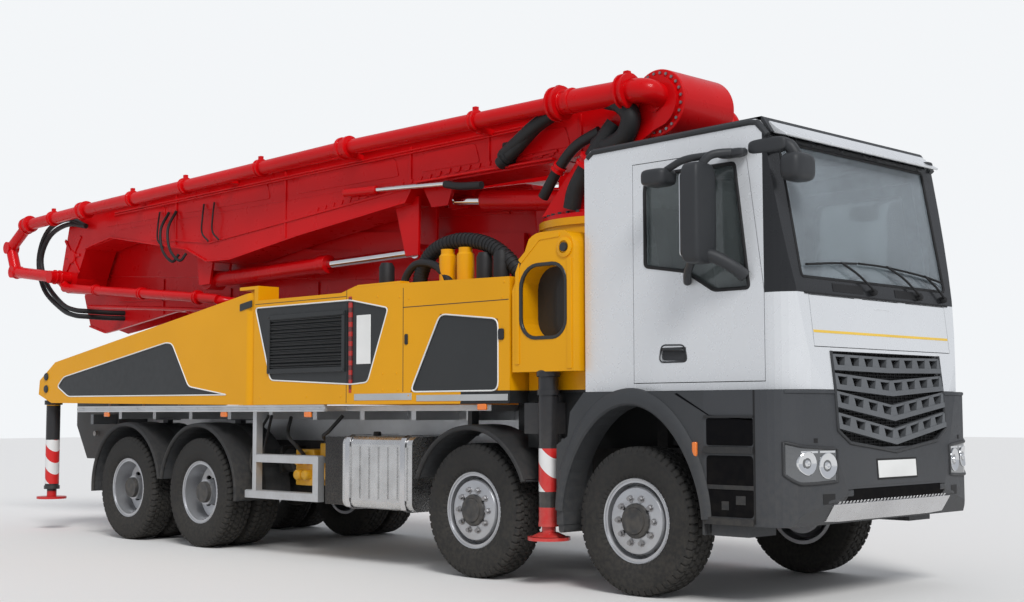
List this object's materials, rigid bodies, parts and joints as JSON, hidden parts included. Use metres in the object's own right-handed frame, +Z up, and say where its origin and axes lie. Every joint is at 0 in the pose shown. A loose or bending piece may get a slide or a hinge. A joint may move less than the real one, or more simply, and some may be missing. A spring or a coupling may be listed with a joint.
{
  "type": "concrete pump truck",
  "caption": "Heavy cab-over truck with twin steered and twin driven axles, carrying a turret, a folding boom with a delivery pipe, swing-out legs and a rear hopper.",
  "frame": {"origin": "on the ground under the middle of the overall length and width", "axes": "+X forward along the chassis, +Y to the left, +Z up"},
  "size_m": [12.462, 3, 4.0499],
  "materials": {
    "frame_paint": "satin",
    "body_yellow": "gloss",
    "aluminium": "satin",
    "dark_plastic": "grained",
    "cab_silver": "metallic gloss",
    "cabin_plastic": "matt",
    "glass": "clear, tinted",
    "lamp_clear": "clear lens over reflectors",
    "steel": "polished",
    "leg_black": "gloss, red and white bands below",
    "boom_red": "gloss",
    "tyre_rubber": "matt",
    "rim_silver": "satin"
  },
  "bodies": {
    "root": {"chassis_frame": "frame_paint", "engine": "frame_paint", "axles": "frame_paint", "pump_unit": "body_yellow", "deck": "aluminium", "pedestal": "body_yellow", "body_sides": "body_yellow", "hopper": "body_yellow", "mudguards": "dark_plastic", "side_tanks": "aluminium", "step_frames": "aluminium", "cab_shell": "cab_silver", "cab_trim": "dark_plastic", "windscreen": "glass", "cab_interior": "cabin_plastic", "bumper": "dark_plastic", "grille": "dark_plastic", "lamps": "lamp_clear"},
    "door_left": {"door_left": "cab_silver", "door_glass_left": "glass", "mirror_left": "dark_plastic"},
    "door_right": {"door_right": "cab_silver", "door_glass_right": "glass", "mirror_right": "dark_plastic"},
    "front_flap": {"front_flap": "cab_silver"},
    "hopper_grate": {"hopper_grate": "body_yellow"},
    "agitator": {"agitator": "steel"},
    "knuckle_1_left": {"knuckle_1_left": "frame_paint"},
    "knuckle_1_right": {"knuckle_1_right": "frame_paint"},
    "knuckle_2_left": {"knuckle_2_left": "frame_paint"},
    "knuckle_2_right": {"knuckle_2_right": "frame_paint"},
    "wheel_1_left": {"tyre_1_left": "tyre_rubber", "rim_1_left": "rim_silver"},
    "wheel_1_right": {"tyre_1_right": "tyre_rubber", "rim_1_right": "rim_silver"},
    "wheel_2_left": {"tyre_2_left": "tyre_rubber", "rim_2_left": "rim_silver"},
    "wheel_2_right": {"tyre_2_right": "tyre_rubber", "rim_2_right": "rim_silver"},
    "wheel_3_left": {"tyre_3_left": "tyre_rubber", "rim_3_left": "rim_silver"},
    "wheel_3_right": {"tyre_3_right": "tyre_rubber", "rim_3_right": "rim_silver"},
    "wheel_4_left": {"tyre_4_left": "tyre_rubber", "rim_4_left": "rim_silver"},
    "wheel_4_right": {"tyre_4_right": "tyre_rubber", "rim_4_right": "rim_silver"},
    "front_leg_left": {"front_leg_left": "leg_black"},
    "rear_leg_left": {"rear_leg_left": "body_yellow"},
    "front_leg_right": {"front_leg_right": "leg_black"},
    "rear_leg_right": {"rear_leg_right": "body_yellow"},
    "turret": {"turret": "boom_red"},
    "arm_1": {"arm_1": "boom_red"},
    "arm_2": {"arm_2": "boom_red"},
    "arm_3": {"arm_3": "boom_red"},
    "arm_4": {"arm_4": "boom_red"},
    "arm_5": {"arm_5": "boom_red"},
    "luff_barrel": {"luff_barrel": "boom_red"},
    "luff_rod": {"luff_rod": "steel"}
  },
  "joints": [
    {"name": "door_left_swing", "type": "hinge", "parent": "root", "child": "door_left", "pos_m": [5.9, 1.15, 2.3], "axis": [0, 0, -1], "range_deg": [0, 75]},
    {"name": "door_right_swing", "type": "hinge", "parent": "root", "child": "door_right", "pos_m": [5.9, -1.15, 2.3], "axis": [0, 0, 1], "range_deg": [0, 75]},
    {"name": "front_flap_lift", "type": "hinge", "parent": "root", "child": "front_flap", "pos_m": [6.114, 0, 2.128], "axis": [0, -1, 0], "range_deg": [0, 75]},
    {"name": "hopper_grate_lift", "type": "hinge", "parent": "root", "child": "hopper_grate", "pos_m": [-3.225, 0, 1.522], "axis": [0, 1, 0], "range_deg": [0, 80]},
    {"name": "agitator_spin", "type": "hinge", "parent": "root", "child": "agitator", "pos_m": [-3.675, 0, 1.09], "axis": [0, 1, 0], "continuous": true},
    {"name": "steer_1_left", "type": "hinge", "parent": "root", "child": "knuckle_1_left", "pos_m": [4.78, 0.87, 0.54], "axis": [0, 0, 1], "range_deg": [-38, 38]},
    {"name": "steer_1_right", "type": "hinge", "parent": "root", "child": "knuckle_1_right", "pos_m": [4.78, -0.87, 0.54], "axis": [0, 0, 1], "range_deg": [-38, 38]},
    {"name": "steer_2_left", "type": "hinge", "parent": "root", "child": "knuckle_2_left", "pos_m": [3.08, 0.87, 0.54], "axis": [0, 0, 1], "range_deg": [-26, 26]},
    {"name": "steer_2_right", "type": "hinge", "parent": "root", "child": "knuckle_2_right", "pos_m": [3.08, -0.87, 0.54], "axis": [0, 0, 1], "range_deg": [-26, 26]},
    {"name": "wheel_1_left_spin", "type": "hinge", "parent": "knuckle_1_left", "child": "wheel_1_left", "pos_m": [4.78, 1.06, 0.54], "axis": [0, 1, 0], "continuous": true},
    {"name": "wheel_1_right_spin", "type": "hinge", "parent": "knuckle_1_right", "child": "wheel_1_right", "pos_m": [4.78, -1.06, 0.54], "axis": [0, 1, 0], "continuous": true},
    {"name": "wheel_2_left_spin", "type": "hinge", "parent": "knuckle_2_left", "child": "wheel_2_left", "pos_m": [3.08, 1.06, 0.54], "axis": [0, 1, 0], "continuous": true},
    {"name": "wheel_2_right_spin", "type": "hinge", "parent": "knuckle_2_right", "child": "wheel_2_right", "pos_m": [3.08, -1.06, 0.54], "axis": [0, 1, 0], "continuous": true},
    {"name": "wheel_3_left_spin", "type": "hinge", "parent": "root", "child": "wheel_3_left", "pos_m": [-0.82, 1.08, 0.54], "axis": [0, 1, 0], "continuous": true},
    {"name": "wheel_3_right_spin", "type": "hinge", "parent": "root", "child": "wheel_3_right", "pos_m": [-0.82, -1.08, 0.54], "axis": [0, 1, 0], "continuous": true},
    {"name": "wheel_4_left_spin", "type": "hinge", "parent": "root", "child": "wheel_4_left", "pos_m": [-2.17, 1.08, 0.54], "axis": [0, 1, 0], "continuous": true},
    {"name": "wheel_4_right_spin", "type": "hinge", "parent": "root", "child": "wheel_4_right", "pos_m": [-2.17, -1.08, 0.54], "axis": [0, 1, 0], "continuous": true},
    {"name": "front_leg_left_slide", "type": "slide", "parent": "root", "child": "front_leg_left", "axis": [0, 1, 0], "range_m": [0, 1.6]},
    {"name": "rear_leg_left_swing", "type": "hinge", "parent": "root", "child": "rear_leg_left", "pos_m": [0, 1.13, 1.4], "axis": [0, 0, -1], "range_deg": [0, 90]},
    {"name": "front_leg_right_slide", "type": "slide", "parent": "root", "child": "front_leg_right", "axis": [0, -1, 0], "range_m": [0, 1.6]},
    {"name": "rear_leg_right_swing", "type": "hinge", "parent": "root", "child": "rear_leg_right", "pos_m": [0, -1.13, 1.4], "axis": [0, 0, 1], "range_deg": [0, 90]},
    {"name": "boom_slew", "type": "hinge", "parent": "root", "child": "turret", "pos_m": [3.58, 0, 2.92], "axis": [0, 0, 1], "range_deg": [-185, 185]},
    {"name": "boom_luff", "type": "hinge", "parent": "turret", "child": "arm_1", "pos_m": [4.42, -0.19, 3.78], "axis": [0, 1, 0], "range_deg": [0, 88]},
    {"name": "arm_2_fold", "type": "hinge", "parent": "arm_1", "child": "arm_2", "pos_m": [-5, 0.24, 3], "axis": [0, -1, 0], "range_deg": [0, 180]},
    {"name": "arm_3_fold", "type": "hinge", "parent": "arm_2", "child": "arm_3", "pos_m": [2.7, 0.24, 2.78], "axis": [0, 1, 0], "range_deg": [0, 180]},
    {"name": "arm_4_fold", "type": "hinge", "parent": "arm_3", "child": "arm_4", "pos_m": [-4.3, 0.64, 3.43], "axis": [0, -1, 0], "range_deg": [0, 180]},
    {"name": "arm_5_fold", "type": "hinge", "parent": "arm_4", "child": "arm_5", "pos_m": [2.6, 0.64, 3.6], "axis": [0, 1, 0], "range_deg": [0, 180]},
    {"name": "luff_barrel_swing", "type": "hinge", "parent": "turret", "child": "luff_barrel", "pos_m": [3.6, -0.19, 3.11], "axis": [0, 1, 0], "range_deg": [0, 90]},
    {"name": "luff_rod_slide", "type": "slide", "parent": "luff_barrel", "child": "luff_rod", "axis": [-0.9948, 0, 0.1021], "range_m": [0, 1.6]}
  ],
  "couplings": [
    {"joint": "steer_1_right", "follows": "steer_1_left", "ratio": 1},
    {"joint": "steer_2_left", "follows": "steer_1_left", "ratio": 0.68},
    {"joint": "steer_2_right", "follows": "steer_1_left", "ratio": 0.68},
    {"joint": "boom_slew", "follows": "boom_luff", "ratio": 2},
    {"joint": "arm_3_fold", "follows": "arm_2_fold", "ratio": 1},
    {"joint": "luff_barrel_swing", "follows": "boom_luff", "ratio": 1.004},
    {"joint": "luff_rod_slide", "follows": "boom_luff", "m_per_rad": 0.958}
  ]
}
